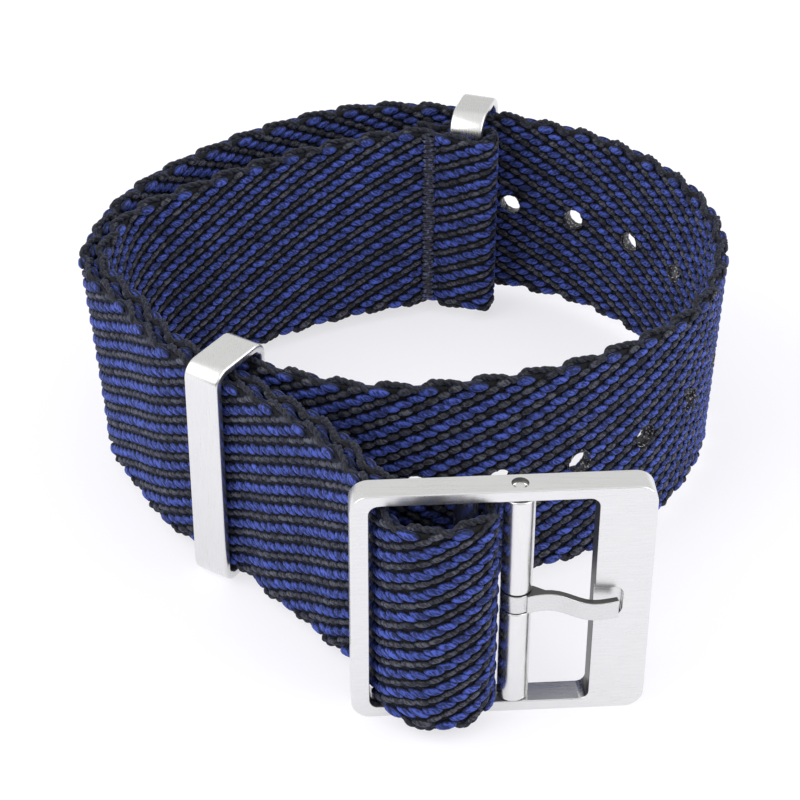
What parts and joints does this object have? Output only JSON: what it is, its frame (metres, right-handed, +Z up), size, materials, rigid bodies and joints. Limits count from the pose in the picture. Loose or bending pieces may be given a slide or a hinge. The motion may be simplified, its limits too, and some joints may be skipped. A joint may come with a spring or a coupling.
{
  "type": "woven watch strap",
  "caption": "One-piece woven watch strap, closed in a loop on its edge, with a brushed steel tongue buckle, a loose keeper and a sewn-in rear ring.",
  "frame": {"origin": "on the ground under the middle of the closed strap", "axes": "+X to the right seen from the buckle, +Y from the buckle to the rear ring, +Z up across the width of the band"},
  "size_m": [0.059, 0.071, 0.0228],
  "materials": {
    "webbing": "coarse woven nylon, navy blue and black diagonal stripes",
    "thread": "waxed sewing thread",
    "hardware": "fine brushed stainless steel",
    "bar": "turned stainless steel"
  },
  "bodies": {
    "band": {"woven_band": "webbing", "loop_stitching": "thread"},
    "ring": {"rear_ring": "hardware"},
    "keeper": {"front_keeper": "hardware"},
    "buckle": {"buckle_frame": "hardware", "strap_bar": "hardware", "spring_bar_body": "bar", "spring_bar_spring": "bar"},
    "upper_tip": {"spring_bar_upper_tip": "bar"},
    "lower_tip": {"spring_bar_lower_tip": "bar"},
    "upper_tube": {"upper_sleeve": "hardware"},
    "lower_tube": {"lower_sleeve": "hardware"},
    "tongue": {"tongue": "hardware"}
  },
  "joints": [
    {"name": "ring_swing", "type": "hinge", "parent": "band", "child": "ring", "pos_m": [0.00585, 0.02891, 0.0112], "axis": [0, 0, 1], "range_deg": [-3, 3]},
    {"name": "keeper_slide", "type": "slide", "parent": "band", "child": "keeper", "axis": [-0.7431, 0.6691, 0], "range_m": [0, 0.003]},
    {"name": "buckle_swing", "type": "hinge", "parent": "band", "child": "buckle", "pos_m": [0.0046, -0.0314, 0.0114], "axis": [0, 0, 1], "range_deg": [0, 50]},
    {"name": "tongue_pivot", "type": "hinge", "parent": "buckle", "child": "tongue", "pos_m": [0.00879, -0.03111, 0.0114], "axis": [0, 0, -1], "range_deg": [-8, 100]},
    {"name": "upper_tube_spin", "type": "hinge", "parent": "buckle", "child": "upper_tube", "pos_m": [0.00879, -0.03111, 0.0169], "axis": [0, 0, 1], "continuous": true},
    {"name": "lower_tube_spin", "type": "hinge", "parent": "buckle", "child": "lower_tube", "pos_m": [0.00879, -0.03111, 0.0059], "axis": [0, 0, 1], "continuous": true},
    {"name": "upper_tip_press", "type": "slide", "parent": "buckle", "child": "upper_tip", "axis": [0, 0, -1], "range_m": [0, 0.0009], "stiffness_N_per_m": 1500, "springref_m": -0.001, "deforming": ["spring_bar_spring"]},
    {"name": "lower_tip_press", "type": "slide", "parent": "buckle", "child": "lower_tip", "axis": [0, 0, 1], "range_m": [0, 0.0009], "stiffness_N_per_m": 1500, "springref_m": -0.001, "deforming": ["spring_bar_spring"]}
  ]
}
